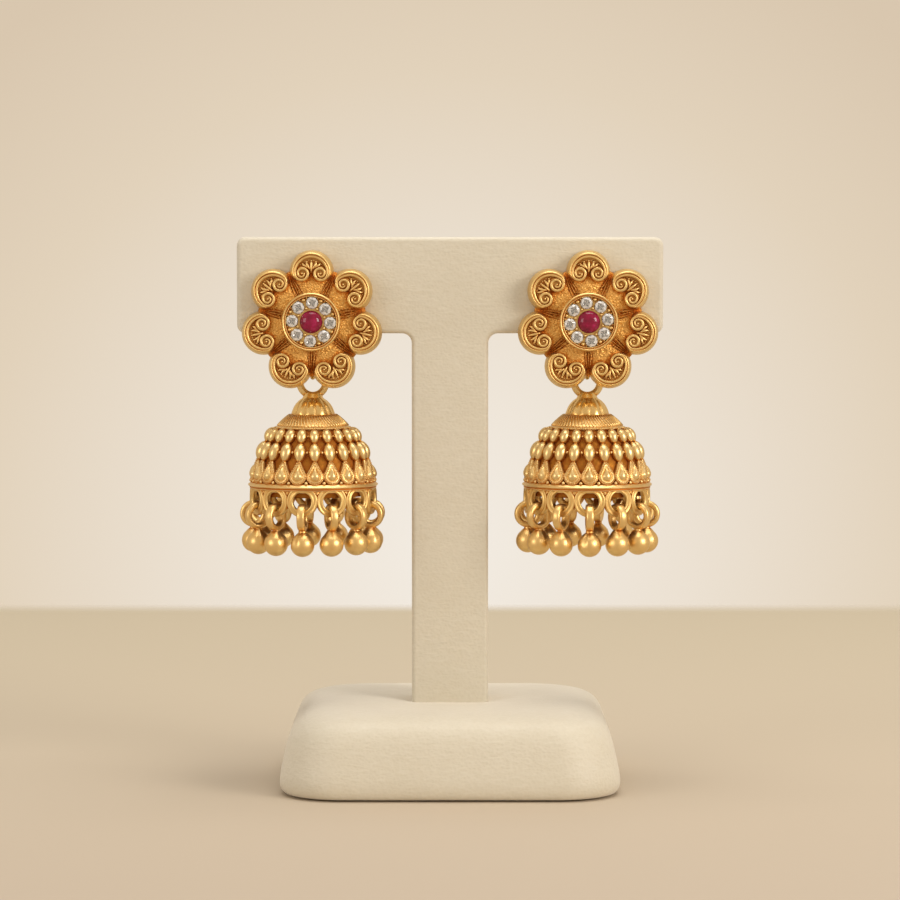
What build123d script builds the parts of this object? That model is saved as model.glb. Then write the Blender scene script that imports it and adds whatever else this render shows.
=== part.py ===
from build123d import *
from math import sqrt
import os

# Pair of jhumka (bell) earrings on a T-shaped display stand.
# Frame: X to the right, Y to the back, Z up. Origin: middle of the stand's underside. Millimetres.

# Stand
BASE_WIDTH = 55.5
BASE_DEPTH = 52.6
BASE_HEIGHT = 13.3
BASE_CORNER_R = 9.5
BASE_SIDE_SLOPE = 12.0        # degrees that the base's sides lean in
BASE_TOP_EDGE_R = 5.8
BASE_BOTTOM_EDGE_R = 1.6
BAR_LENGTH = 69.6
BAR_HEIGHT = 15.7
BAR_TOP_Z = 89.3
BAR_CORNER_R = 1.3
POST_WIDTH = 12.5
TEE_THICKNESS = 9.0
TEE_INNER_R = 1.7             # fillet where the post meets the bar's underside
TEE_EDGE_R = 1.0
PIN_HOLE_R = 0.75

# Where each earring hangs
EARRING_X = 22.5              # half the distance between the two earrings
FLOWER_Z = 75.5
FLOWER_GAP = 0.1              # from the flower's back to the bar's front
HANG_Y = -2.4                 # plane of the bell's axis

# Flower stud: heights are measured forward from its back
PETALS = 7
PLATE_R = 9.0
PLATE_H = 1.2
PETAL_CENTRE_R = 8.05
PETAL_FRONT_R = 3.05
PETAL_BACK_R = 3.5
PETAL_H = 3.0
PETAL_FLOOR_H = 2.1
PETAL_RIM = 0.5               # width of the scroll wire at the petal's edge
SCROLL_R = 1.3
SCROLL_SIDE = 1.58            # sideways from the petal's centre line
SCROLL_CENTRE_R = 8.0
SCROLL_EYE_R = 0.45
TONGUE_OUTER_W = 5.2
TONGUE_INNER_W = 3.2
TONGUE_INNER_R = 3.4
SEAT_R = 3.9
SEAT_H = 2.3

# Setting and stones: heights from the flower's back
SETTING_R = 4.75
SETTING_BACK_H = 2.35
SETTING_FRONT_H = 4.2
SETTING_LIP = 0.5
SETTING_FLOOR_H = 3.85
STONES = 8
STONE_RING_R = 3.1
STONE_R = 0.98
STONE_TABLE_R = 0.58
STONE_GIRDLE_H = 3.95
STONE_CROWN = 0.32
STONE_PAVILION = 0.8
RUBY_R = 1.77
RUBY_BACK_H = 3.0
RUBY_GIRDLE_H = 3.75
RUBY_DOME = 1.05
STONE_GAP = 0.06              # round every stone
STONE_TURN = {"left": -3.0, "right": 7.5}    # degrees that the ring of stones is turned

# Ear post, behind the flower
PIN_R = 0.45
PIN_ABOVE_CENTRE = 4.4
PIN_END_GAP = 0.05
NUT_R = 2.6
NUT_H = 1.3
NUT_GAP = 0.15

# Link: the flower's hanging loop runs round the top of the bell's ring
RING_WIRE_R = 0.6
RING_MEAN_R = 2.1
RING_Z = 65.5
LOOP_WIRE_R = 0.42
LOOP_MEAN_R = 1.37
LINK_GAP = 0.2
LUG_R = 0.6

# Bell: radius at each height, from the neck down to the rim
NECK_Z = 63.0
BUD_BALL_R = 3.6              # the bud is part of a ball on the bell's axis
BUD_BALL_Z = 59.8
BUD_Z = 60.3
COLLAR_TOP_R = 4.4
COLLAR_R = 6.4
COLLAR_Z = 58.1
# each bead row: its top and bottom height, the radius there, and the radius where it bulges most
BEAD_ROWS = [
    {"top": 58.1, "bottom": 55.9, "top_r": 6.7, "bulge_r": 7.95, "bottom_r": 8.0},
    {"top": 55.9, "bottom": 52.9, "top_r": 8.0, "bulge_r": 9.2, "bottom_r": 9.3},
    {"top": 52.9, "bottom": 49.2, "top_r": 9.3, "bulge_r": 10.6, "bottom_r": 10.3},
]
RIM_R = 10.4
RIM_BOTTOM_Z = 47.5
# the hollow inside is a half ball over a slightly wider mouth
HOLLOW_BALL_R = 8.9
HOLLOW_BALL_Z = 50.5
HOLLOW_MOUTH_R = 9.2

# Fringe: loops under the rim, and a drop in each
DROPS = 13
FRINGE_R = 9.8
FRINGE_TURN = {"left": -7.6, "right": 0.0}   # degrees of the front drop, positive to the right
RIM_LOOP_WIRE_R = 0.55
RIM_LOOP_MEAN_R = 2.03
RIM_LOOP_Z = 46.6
DROP_LINK_GAP = 0.12
DROP_BAND = 0.96              # the band ring's radial thickness
DROP_BAND_WIDTH = 1.44
DROP_BAND_EDGE_R = 0.38
DROP_RING_MEAN_R = 1.72
DROP_NECK_R = 0.6
BALL_R = 1.95
BALL_BELOW_RING = 0.25        # from the band ring's lowest point to the ball's top

# Worked out from the above
BAR_FRONT_Y = -TEE_THICKNESS / 2
BAR_BACK_Y = TEE_THICKNESS / 2
FLOWER_BACK_Y = BAR_FRONT_Y - FLOWER_GAP
PIN_Z = FLOWER_Z + PIN_ABOVE_CENTRE
RING_TOP_Z = RING_Z + RING_MEAN_R
LOOP_Z = RING_TOP_Z - RING_WIRE_R - LINK_GAP + LOOP_MEAN_R - LOOP_WIRE_R
RIM_LOOP_SEAT_Z = RIM_LOOP_Z - RIM_LOOP_MEAN_R + RIM_LOOP_WIRE_R
DROP_RING_Z = RIM_LOOP_SEAT_Z + DROP_LINK_GAP + DROP_BAND / 2 - DROP_RING_MEAN_R
BALL_Z = DROP_RING_Z - DROP_RING_MEAN_R - DROP_BAND / 2 - BALL_BELOW_RING - BALL_R
SIDES = {"left": -EARRING_X, "right": EARRING_X}


def upright_cylinder(radius, height, x=0.0, y=0.0, z=0.0):
    """A cylinder that stands on the height z."""
    return Pos(x, y, z + height / 2) * Cylinder(radius, height)


def stand_base():
    """Low pad with leaning sides, a soft top edge and a small roll at the bottom."""
    outline = RectangleRounded(BASE_WIDTH, BASE_DEPTH, BASE_CORNER_R)
    pad = extrude(outline, amount=BASE_HEIGHT, taper=BASE_SIDE_SLOPE)
    pad = fillet(pad.faces().sort_by(Axis.Z)[-1].edges(), BASE_TOP_EDGE_R)
    return fillet(pad.faces().sort_by(Axis.Z)[0].edges(), BASE_BOTTOM_EDGE_R)


def stand_tee():
    """Crossbar and post in one board, with a hole through each arm for an ear post."""
    bar = Pos(0, BAR_TOP_Z - BAR_HEIGHT / 2) * Rectangle(BAR_LENGTH, BAR_HEIGHT)
    post = Pos(0, (BAR_TOP_Z + BASE_HEIGHT) / 2) * Rectangle(POST_WIDTH, BAR_TOP_Z - BASE_HEIGHT)
    outline = bar + post
    bar_ends = outline.vertices().filter_by_position(Axis.X, -BAR_LENGTH, -POST_WIDTH)
    bar_ends += outline.vertices().filter_by_position(Axis.X, POST_WIDTH, BAR_LENGTH)
    outline = fillet(bar_ends, BAR_CORNER_R)
    post_sides = outline.vertices().filter_by_position(Axis.X, -POST_WIDTH, POST_WIDTH)
    outline = fillet(post_sides.filter_by_position(Axis.Y, BASE_HEIGHT + TEE_EDGE_R, BAR_TOP_Z), TEE_INNER_R)
    board = Rot(90, 0, 0) * extrude(outline, amount=TEE_THICKNESS / 2, both=True)
    rims = board.faces().sort_by(Axis.Y)[0].edges() + board.faces().sort_by(Axis.Y)[-1].edges()
    board = fillet(rims.filter_by_position(Axis.Z, BASE_HEIGHT + TEE_EDGE_R, BAR_TOP_Z), TEE_EDGE_R)
    for x in SIDES.values():
        board -= Pos(x, 0, PIN_Z) * Rot(90, 0, 0) * Cylinder(PIN_HOLE_R, TEE_THICKNESS)
    return board


def on_flower(x, shape):
    """Moves a shape from the flower's own plane to its place on the stand."""
    return Pos(x, FLOWER_BACK_Y, FLOWER_Z) * Rot(90, 0, 0) * shape


def petal():
    """One petal, pointing along +Y, lying on the flower's back at height 0."""
    cup = Pos(0, PETAL_CENTRE_R, PETAL_H / 2) * Cone(PETAL_BACK_R, PETAL_FRONT_R, PETAL_H)
    tongue_outline = make_face(Polyline(
        (-TONGUE_INNER_W / 2, TONGUE_INNER_R), (TONGUE_INNER_W / 2, TONGUE_INNER_R),
        (TONGUE_OUTER_W / 2, PETAL_CENTRE_R), (-TONGUE_OUTER_W / 2, PETAL_CENTRE_R), close=True))
    tongue = extrude(tongue_outline, amount=PETAL_FLOOR_H)
    rim_depth = PETAL_H - PETAL_FLOOR_H
    recess = upright_cylinder(PETAL_FRONT_R - PETAL_RIM, rim_depth, 0, PETAL_CENTRE_R, PETAL_FLOOR_H)
    mouth = Pos(0, SCROLL_CENTRE_R - 2 * SCROLL_R, PETAL_H - rim_depth / 2) * Box(
        2 * PETAL_BACK_R, 2 * SCROLL_R, rim_depth)
    shape = cup + tongue - recess - mouth
    for side in (-1, 1):
        x = side * SCROLL_SIDE
        scroll = upright_cylinder(SCROLL_R, PETAL_H - PLATE_H, x, SCROLL_CENTRE_R, PLATE_H)
        eye = upright_cylinder(SCROLL_EYE_R, rim_depth / 2, x, SCROLL_CENTRE_R, PETAL_H - rim_depth / 2)
        shape += scroll - eye
    return shape


def flower(x):
    """Seven petals on a plate, the seat for the setting, and the hanging loop behind the lower edge."""
    shape = upright_cylinder(PLATE_R, PLATE_H) + upright_cylinder(SEAT_R, SEAT_H)
    one_petal = petal()
    for i in range(PETALS):
        shape += Rot(0, 0, i * 360 / PETALS) * one_petal
    shape = on_flower(x, shape)
    loop = Pos(x, HANG_Y, LOOP_Z) * Rot(0, 90, 0) * Torus(LOOP_MEAN_R, LOOP_WIRE_R)
    lug_back_y = HANG_Y - LOOP_MEAN_R
    lug_length = lug_back_y - FLOWER_BACK_Y + PLATE_H / 2
    lug = Pos(x, lug_back_y - lug_length / 2, LOOP_Z) * Rot(90, 0, 0) * Cylinder(LUG_R, lug_length)
    return shape + loop + lug


def stone_places(side):
    """Middles of the eight small stones in the setting's own plane."""
    turn = STONE_TURN[side]
    return [Rot(0, 0, turn + i * 360 / STONES) * Pos(0, STONE_RING_R, 0) for i in range(STONES)]


def setting(side, x):
    """Round collet with a raised lip and a seat for each stone."""
    height = SETTING_FRONT_H - SETTING_BACK_H
    shape = upright_cylinder(SETTING_R, height, z=SETTING_BACK_H)
    shape -= upright_cylinder(SETTING_R - SETTING_LIP, height, z=SETTING_FLOOR_H)
    shape -= upright_cylinder(RUBY_R + STONE_GAP, height, z=RUBY_BACK_H - STONE_GAP)
    seat_floor = STONE_GIRDLE_H - STONE_PAVILION - STONE_GAP
    for place in stone_places(side):
        shape -= place * upright_cylinder(STONE_R + STONE_GAP, height, z=seat_floor)
    return on_flower(x, shape)


def accent_stone(x, place):
    """Round brilliant: a crown with a flat table over a pointed pavilion."""
    crown = Pos(0, 0, STONE_GIRDLE_H + STONE_CROWN / 2) * Cone(STONE_R, STONE_TABLE_R, STONE_CROWN)
    pavilion = Pos(0, 0, STONE_GIRDLE_H - STONE_PAVILION / 2) * Cone(0, STONE_R, STONE_PAVILION)
    return on_flower(x, place * (crown + pavilion))


def ruby(x):
    """Round cabochon: a short cylinder under a low dome."""
    girdle = upright_cylinder(RUBY_R, RUBY_GIRDLE_H - RUBY_BACK_H, z=RUBY_BACK_H)
    dome_r = (RUBY_R ** 2 + RUBY_DOME ** 2) / (2 * RUBY_DOME)
    ball = Pos(0, 0, RUBY_GIRDLE_H + RUBY_DOME - dome_r) * Sphere(dome_r)
    cap = ball & upright_cylinder(RUBY_R, RUBY_DOME, z=RUBY_GIRDLE_H)
    return on_flower(x, girdle + cap)


def ear_post(x):
    """Plain pin through the bar, with a plain round back behind it."""
    front_y = FLOWER_BACK_Y + PIN_END_GAP
    back_y = BAR_BACK_Y + NUT_GAP + NUT_H
    pin = Pos(x, (front_y + back_y) / 2, PIN_Z) * Rot(90, 0, 0) * Cylinder(PIN_R, back_y - front_y)
    nut = Pos(x, back_y - NUT_H / 2, PIN_Z) * Rot(90, 0, 0) * Cylinder(NUT_R, NUT_H)
    return pin + nut


def bell_wall():
    """Hollow dome turned round the bell's axis: bud, collar, three bead rows and the rim band."""
    neck_r = sqrt(BUD_BALL_R ** 2 - (NECK_Z - BUD_BALL_Z) ** 2)
    bud_r = sqrt(BUD_BALL_R ** 2 - (BUD_Z - BUD_BALL_Z) ** 2)
    lines = [
        Line((0, NECK_Z), (neck_r, NECK_Z)),
        RadiusArc((neck_r, NECK_Z), (bud_r, BUD_Z), BUD_BALL_R),
        Polyline(
            (bud_r, BUD_Z), (COLLAR_TOP_R, BUD_Z), (COLLAR_R, COLLAR_Z), (BEAD_ROWS[0]["top_r"], COLLAR_Z)),
    ]
    for row in BEAD_ROWS:
        middle = (row["top"] + row["bottom"]) / 2
        lines.append(ThreePointArc(
            (row["top_r"], row["top"]), (row["bulge_r"], middle), (row["bottom_r"], row["bottom"])))
    last = BEAD_ROWS[-1]
    lines.append(Polyline(
        (last["bottom_r"], last["bottom"]), (RIM_R, last["bottom"]), (RIM_R, RIM_BOTTOM_Z),
        (0, RIM_BOTTOM_Z), (0, NECK_Z)))
    outside = revolve(Plane.XZ * make_face(lines), Axis.Z)
    mouth_h = HOLLOW_BALL_Z - RIM_BOTTOM_Z
    mouth = Pos(0, 0, RIM_BOTTOM_Z + mouth_h / 2) * Cone(HOLLOW_MOUTH_R, HOLLOW_BALL_R, mouth_h)
    return outside - Pos(0, 0, HOLLOW_BALL_Z) * Sphere(HOLLOW_BALL_R) - mouth


def bell(side, x):
    """The dome with its top ring and the loops under its rim, soldered into one piece."""
    shape = bell_wall()
    shape += Pos(0, 0, RING_Z) * Rot(90, 0, 0) * Torus(RING_MEAN_R, RING_WIRE_R)
    loop = Pos(0, -FRINGE_R, RIM_LOOP_Z) * Rot(90, 0, 0) * Torus(RIM_LOOP_MEAN_R, RIM_LOOP_WIRE_R)
    for i in range(DROPS):
        shape += Rot(0, 0, FRINGE_TURN[side] + i * 360 / DROPS) * loop
    return Pos(x, HANG_Y, 0) * shape


def drop(side, x, i):
    """Band ring with a ball soldered under it, hung in rim loop i."""
    section = Pos(0, -FRINGE_R, DROP_RING_Z + DROP_RING_MEAN_R) * Rot(90, 0, 0) * RectangleRounded(
        DROP_BAND_WIDTH, DROP_BAND, DROP_BAND_EDGE_R)
    shape = revolve(section, Axis((0, -FRINGE_R, DROP_RING_Z), (1, 0, 0)))
    neck_top = DROP_RING_Z - DROP_RING_MEAN_R
    neck_h = neck_top - BALL_Z
    shape += Pos(0, -FRINGE_R, neck_top - neck_h / 2) * Cylinder(DROP_NECK_R, neck_h)
    shape += Pos(0, -FRINGE_R, BALL_Z) * Sphere(BALL_R)
    return Pos(x, HANG_Y, 0) * Rot(0, 0, FRINGE_TURN[side] + i * 360 / DROPS) * shape


def save(name, shape):
    export_step(shape, f"parts/{name}.step")


os.makedirs("parts", exist_ok=True)
save("stand_base", stand_base())
save("stand_tee", stand_tee())
for side, x in SIDES.items():
    save(f"{side}_flower", flower(x))
    save(f"{side}_setting", setting(side, x))
    save(f"{side}_ruby", ruby(x))
    for number, place in enumerate(stone_places(side), start=1):
        save(f"{side}_accent_stone_{number}", accent_stone(x, place))
    save(f"{side}_ear_post", ear_post(x))
    save(f"{side}_bell", bell(side, x))
    for i in range(DROPS):
        save(f"{side}_drop_{i + 1:02d}", drop(side, x, i))
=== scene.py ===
import math
import random

import bmesh
import bpy
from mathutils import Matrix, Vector


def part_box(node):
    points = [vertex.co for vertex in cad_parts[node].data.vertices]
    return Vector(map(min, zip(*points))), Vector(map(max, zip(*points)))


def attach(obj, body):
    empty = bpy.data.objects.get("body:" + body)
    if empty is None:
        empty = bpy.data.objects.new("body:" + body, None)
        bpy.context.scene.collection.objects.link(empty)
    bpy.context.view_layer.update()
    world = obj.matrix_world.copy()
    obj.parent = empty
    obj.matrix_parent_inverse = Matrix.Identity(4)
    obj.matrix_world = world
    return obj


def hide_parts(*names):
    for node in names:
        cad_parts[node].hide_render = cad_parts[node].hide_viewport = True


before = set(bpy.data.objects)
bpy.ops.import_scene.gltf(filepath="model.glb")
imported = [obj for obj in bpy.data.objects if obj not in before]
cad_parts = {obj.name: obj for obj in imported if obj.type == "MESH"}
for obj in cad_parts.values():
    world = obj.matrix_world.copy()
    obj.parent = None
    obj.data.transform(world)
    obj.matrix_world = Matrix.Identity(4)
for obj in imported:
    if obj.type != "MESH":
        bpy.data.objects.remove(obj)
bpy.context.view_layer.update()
bpy.ops.object.select_all(action="DESELECT")


# ----------------------------------------------------------
# Studio table: a plain tan tabletop whose far edge falls away in front of a cream wall that is
# lit in its middle. Soft lamps stand to the right and left front and overhead, and the camera
# looks a little downwards from the height of the crossbar.
MM = 0.001  # the pieces are modelled in millimetres
CAMERA_DISTANCE = 0.5024
CAMERA_HEIGHT = 0.0815
CAMERA_PITCH = 3.1  # degrees downwards
CAMERA_LENS = 121.96
TABLE_SIDE = 4
TABLE_FAR_EDGE = (0.2527, 0.2766)  # the tabletop fades out between these, as a soft edge
TABLE_ROUND_FADE = (0.32, 0.75)  # and all round, at these distances from the stand
TABLE_PAINTED_LIGHT = (-0.15, 0.24)  # painted light: the tabletop grows paler from near to far
LAMP_AIM = (0, 0, 0.05)
# which way the lit middle of the wall lies, and how far round it the light falls off
GLOW_WAY = (0.0, 0.996, -0.085)
GLOW_REACH = 0.25
DAYLIGHT_STRENGTH = 0.5

WALL_GLOW = "#f3ece2"
WALL_NEAR_GLOW = "#ece1d2"
WALL_MIDDLE = "#e2d2bb"
WALL_CORNER = "#d9c7af"
TABLE_TAN = "#bdab95"
TABLE_TAN_FAR = "#cfbfa2"
DAYLIGHT_FILL = "#fffcf8"


def linear(hex_colour):
    """A colour written as sRGB hex, as the linear RGBA that the shaders take."""
    channels = [int(hex_colour[i:i + 2], 16) / 255 for i in (1, 3, 5)]
    return [c / 12.92 if c <= 0.04045 else ((c + 0.055) / 1.055) ** 2.4 for c in channels] + [1.0]


def add_node(tree, kind, settings=None, inputs=None):
    """Adds a node, sets its properties, and gives its inputs a value or a link."""
    node = tree.nodes.new(kind)
    for name, value in (settings or {}).items():
        setattr(node, name, value)
    for name, value in (inputs or {}).items():
        if isinstance(value, bpy.types.NodeSocket):
            tree.links.new(value, node.inputs[name])
        else:
            node.inputs[name].default_value = value
    return node


def set_ramp(node, stops):
    """Gives a colour ramp its (position, colour) stops."""
    ramp = node.color_ramp
    while len(ramp.elements) > 1:
        ramp.elements.remove(ramp.elements[-1])
    ramp.elements[0].position, ramp.elements[0].color = stops[0][0], linear(stops[0][1])
    for position, colour in stops[1:]:
        ramp.elements.new(position).color = linear(colour)


def empty_material(name):
    """A material with nothing in its tree."""
    material = bpy.data.materials.new(name)
    material.use_nodes = True
    material.node_tree.nodes.clear()
    return material


camera_data = bpy.data.cameras.new("camera")
camera_data.lens = CAMERA_LENS
camera_data.clip_start = 0.01
camera = bpy.data.objects.new("camera", camera_data)
camera.location = (0, -CAMERA_DISTANCE, CAMERA_HEIGHT)
camera.rotation_euler = (math.radians(90 - CAMERA_PITCH), 0, 0)
bpy.context.collection.objects.link(camera)
bpy.context.scene.camera = camera
bpy.context.scene.view_settings.view_transform = "Standard"

# name, place, size in metres, power in watts, colour
for name, place, size, power, colour in (
    ("key_lamp", (0.49, -0.375, 0.24), 0.26, 1.92, "#fffbf6"),
    ("fill_lamp", (-0.50, -0.40, 0.20), 0.30, 0.82, "#fffbf6"),
    ("top_lamp", (0.04, 0.02, 0.64), 0.45, 2.4, "#fffdfb"),
):
    lamp_data = bpy.data.lights.new(name, "AREA")
    lamp_data.size = size
    lamp_data.energy = power
    lamp_data.color = linear(colour)[:3]
    lamp = bpy.data.objects.new(name, lamp_data)
    lamp.location = place
    lamp.rotation_euler = (Vector(LAMP_AIM) - Vector(place)).to_track_quat("-Z", "Y").to_euler()
    bpy.context.collection.objects.link(lamp)

# Cream wall: bright in its middle and darker towards its corners. It is seen, also in the gold and
# through the stones, but the light it gives the stand is plain daylight.
world = bpy.data.worlds.new("cream_wall")
world.use_nodes = True
world.node_tree.nodes.clear()
tree = world.node_tree
direction = add_node(tree, "ShaderNodeTexCoord").outputs["Generated"]
from_glow = add_node(tree, "ShaderNodeVectorMath", {"operation": "DISTANCE"}, {
    0: direction, 1: GLOW_WAY})
wall = add_node(tree, "ShaderNodeMapRange", {}, {
    "Value": from_glow.outputs["Value"], "From Max": GLOW_REACH})
wall = add_node(tree, "ShaderNodeValToRGB", {}, {"Fac": wall.outputs["Result"]})
set_ramp(wall, [
    (0.0, WALL_GLOW), (0.32, WALL_NEAR_GLOW), (0.62, WALL_MIDDLE), (0.87, WALL_CORNER)])
ray = add_node(tree, "ShaderNodeLightPath")
shows_wall = add_node(tree, "ShaderNodeMath", {"operation": "MAXIMUM"}, {
    0: ray.outputs["Is Camera Ray"], 1: ray.outputs["Is Transmission Ray"]})
shows_wall = add_node(tree, "ShaderNodeMath", {"operation": "MAXIMUM"}, {
    0: shows_wall.outputs[0], 1: ray.outputs["Is Glossy Ray"]})
daylight = add_node(tree, "ShaderNodeBackground", {}, {
    "Color": linear(DAYLIGHT_FILL), "Strength": DAYLIGHT_STRENGTH})
lit_wall = add_node(tree, "ShaderNodeBackground", {}, {
    "Color": wall.outputs["Color"], "Strength": 1.0})
mix = add_node(tree, "ShaderNodeMixShader", {}, {
    0: shows_wall.outputs[0], 1: daylight.outputs[0], 2: lit_wall.outputs[0]})
add_node(tree, "ShaderNodeOutputWorld", {}, {"Surface": mix.outputs[0]})
bpy.context.scene.world = world

# Matt tan laminate: pressed with a dead flat finish, so it shows a soft shadow and no reflection
laminate = empty_material("matt_tan_laminate")
tree = laminate.node_tree
place = add_node(tree, "ShaderNodeTexCoord").outputs["Object"]
depth = add_node(tree, "ShaderNodeSeparateXYZ", {}, {"Vector": place}).outputs["Y"]
fade = add_node(tree, "ShaderNodeMapRange", {"interpolation_type": "SMOOTHSTEP"}, {
    "Value": depth, "From Min": TABLE_FAR_EDGE[0], "From Max": TABLE_FAR_EDGE[1]})
spread = add_node(tree, "ShaderNodeVectorMath", {"operation": "LENGTH"}, {0: place})
round_fade = add_node(tree, "ShaderNodeMapRange", {"interpolation_type": "SMOOTHSTEP"}, {
    "Value": spread.outputs["Value"],
    "From Min": TABLE_ROUND_FADE[0], "From Max": TABLE_ROUND_FADE[1]})
fade = add_node(tree, "ShaderNodeMath", {"operation": "MAXIMUM"}, {
    0: fade.outputs["Result"], 1: round_fade.outputs["Result"]})
# painted light: the tan is mixed paler towards the far edge
painted_light = add_node(tree, "ShaderNodeMapRange", {}, {
    "Value": depth, "From Min": TABLE_PAINTED_LIGHT[0], "From Max": TABLE_PAINTED_LIGHT[1]})
tan = add_node(tree, "ShaderNodeMix", {"data_type": "RGBA"}, {
    0: painted_light.outputs["Result"], 6: linear(TABLE_TAN), 7: linear(TABLE_TAN_FAR)})
surface = add_node(tree, "ShaderNodeBsdfPrincipled", {}, {
    "Base Color": tan.outputs[2], "Roughness": 0.85})
nothing = add_node(tree, "ShaderNodeBsdfTransparent")
mix = add_node(tree, "ShaderNodeMixShader", {}, {
    0: fade.outputs[0], 1: surface.outputs[0], 2: nothing.outputs[0]})
add_node(tree, "ShaderNodeOutputMaterial", {}, {"Surface": mix.outputs[0]})

bpy.ops.mesh.primitive_plane_add(
    size=TABLE_SIDE, location=(0, TABLE_FAR_EDGE[1] - TABLE_SIDE / 2, 0))
tabletop = bpy.context.object
tabletop.name = "tabletop"
bpy.ops.object.transform_apply()
tabletop.data.materials.append(laminate)


# ----------------------------------------------------------
# Stand base: a low pad of fibreboard, padded and wrapped in cream leatherette. The cover is
# drawn over a rounded top edge and glued under the bottom edge, and it dips a little where the
# post stands in it.
BASE_CORNER_R = 9.5
# half the base's width and its height there, from the roll at the bottom up to the crown
BASE_RISE = [
    (26.2, 0.0), (26.75, 0.3), (27.15, 0.8), (27.36, 1.5), (27.38, 2.4), (27.24, 3.6),
    (26.98, 4.8), (26.68, 6.2), (26.36, 7.6), (26.02, 8.9), (25.62, 10.0), (25.06, 11.0),
    (24.3, 11.8), (23.3, 12.42), (22.1, 12.84), (20.7, 13.1), (19.0, 13.26), (16.5, 13.36),
    (13.5, 13.4), (10.5, 13.38), (8.6, 13.28), (7.2, 13.1), (6.0, 13.0), (3.0, 13.0)]
LEATHERETTE_CREAM = "#dbd1bc"
# painted shade: the colour down in the pores and creases
LEATHERETTE_PORE_SHADE = "#cfc3aa"
PORES_APART = 0.5
CREASE_LENGTH = 2.0
CREASE_WIDTH = 0.6
EMBOSSED = 0.09


def only(piece):
    """Leaves edit mode and makes this piece the one that is selected."""
    if bpy.context.mode != "OBJECT":
        bpy.ops.object.mode_set(mode="OBJECT")
    bpy.ops.object.select_all(action="DESELECT")
    piece.select_set(True)
    bpy.context.view_layer.objects.active = piece


def pick(piece, part, test):
    """Selects the edges or faces that pass a test of their middle and their direction or normal."""
    only(piece)
    bpy.ops.object.mode_set(mode="EDIT")
    bpy.ops.mesh.select_mode(type=part)
    bpy.ops.mesh.select_all(action="DESELECT")
    mesh = bmesh.from_edit_mesh(piece.data)
    if part == "EDGE":
        found = [e for e in mesh.edges if test(
            (e.verts[0].co + e.verts[1].co) / 2, (e.verts[1].co - e.verts[0].co).normalized())]
    else:
        found = [f for f in mesh.faces if test(f.calc_center_median(), f.normal)]
    for item in found:
        item.select_set(True)
    mesh.select_flush_mode()
    bmesh.update_edit_mesh(piece.data)


def edit_all(piece):
    """Goes into edit mode with the whole piece selected."""
    only(piece)
    bpy.ops.object.mode_set(mode="EDIT")
    bpy.ops.mesh.select_all(action="SELECT")


def finish_mesh(piece, merge=0.0005):
    """Merges doubles, points the faces outwards and shades the piece smooth."""
    edit_all(piece)
    bpy.ops.mesh.remove_doubles(threshold=merge)
    bpy.ops.mesh.normals_make_consistent(inside=False)
    bpy.ops.object.mode_set(mode="OBJECT")
    bpy.ops.object.shade_smooth()


def apply_modifier(piece, kind, **settings):
    """Adds a modifier and applies it at once."""
    only(piece)
    modifier = piece.modifiers.new(kind.lower(), kind)
    for name, value in settings.items():
        setattr(modifier, name, value)
    bpy.ops.object.modifier_apply(modifier=modifier.name)


def move(piece, turn=(0, 0, 0), at=(0, 0, 0), scale=1.0):
    """Turns (degrees), scales and moves a piece, and puts the change into its mesh."""
    only(piece)
    piece.rotation_euler = [math.radians(angle) for angle in turn]
    piece.scale = (scale, scale, scale)
    piece.location = at
    bpy.ops.object.transform_apply()


def hand_over(piece, name, body, slot, *nodes):
    """Names a finished piece, and says what it rides on and the nodes it replaces. Its slot is not
    used.
    """
    piece.name = name
    piece.data.name = name
    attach(piece, body)
    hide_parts(*nodes)


# Leatherette: fine-grained vinyl on cloth, embossed and matt. Its pores are about 0.35 mm apart,
# drawn at 0.5 mm so that they just show; shallow creases about 2 mm long run across it, the cover
# is faintly uneven in tone over 11 mm, and its nap gives the edges a soft warm sheen.
leatherette = empty_material("matt_cream_leatherette")
tree = leatherette.node_tree
place = add_node(tree, "ShaderNodeTexCoord").outputs["Object"]
uneven = add_node(tree, "ShaderNodeTexNoise", {}, {"Vector": place, "Scale": 90, "Detail": 2})
pores = add_node(tree, "ShaderNodeTexVoronoi", {"feature": "SMOOTH_F1"}, {
    "Vector": place, "Scale": 1 / (PORES_APART * MM), "Smoothness": 0.5})
across = add_node(tree, "ShaderNodeMapping", {"vector_type": "TEXTURE"}, {
    "Vector": place, "Scale": (CREASE_LENGTH * MM, CREASE_LENGTH * MM, CREASE_WIDTH * MM)})
creases = add_node(tree, "ShaderNodeTexNoise", {}, {
    "Vector": across.outputs[0], "Scale": 1.0, "Detail": 3, "Distortion": 0.9})
relief = add_node(tree, "ShaderNodeMath", {"operation": "MULTIPLY_ADD"}, {
    0: pores.outputs["Distance"], 1: 0.55, 2: creases.outputs["Fac"]})
tone = add_node(tree, "ShaderNodeMath", {"operation": "MULTIPLY_ADD"}, {
    0: uneven.outputs["Fac"], 1: 0.9, 2: relief.outputs[0]})
tone = add_node(tree, "ShaderNodeMapRange", {}, {
    "Value": tone.outputs[0], "From Min": 0.3, "From Max": 1.9})
# painted shade: the cover is coloured darker down in its pores and creases; its uneven tone is its
# own
colour = add_node(tree, "ShaderNodeMix", {"data_type": "RGBA"}, {
    0: tone.outputs["Result"], 6: linear(LEATHERETTE_PORE_SHADE), 7: linear(LEATHERETTE_CREAM)})
bump = add_node(tree, "ShaderNodeBump", {}, {
    "Height": relief.outputs[0], "Strength": 0.65, "Distance": EMBOSSED * MM})
skin = add_node(tree, "ShaderNodeBsdfPrincipled", {}, {
    "Base Color": colour.outputs[2], "Normal": bump.outputs[0], "Roughness": 0.5,
    "IOR": 1.4, "Sheen Weight": 0.5, "Sheen Roughness": 0.5, "Sheen Tint": linear("#fff5e6")})
add_node(tree, "ShaderNodeOutputMaterial", {}, {"Surface": skin.outputs[0]})

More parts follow.
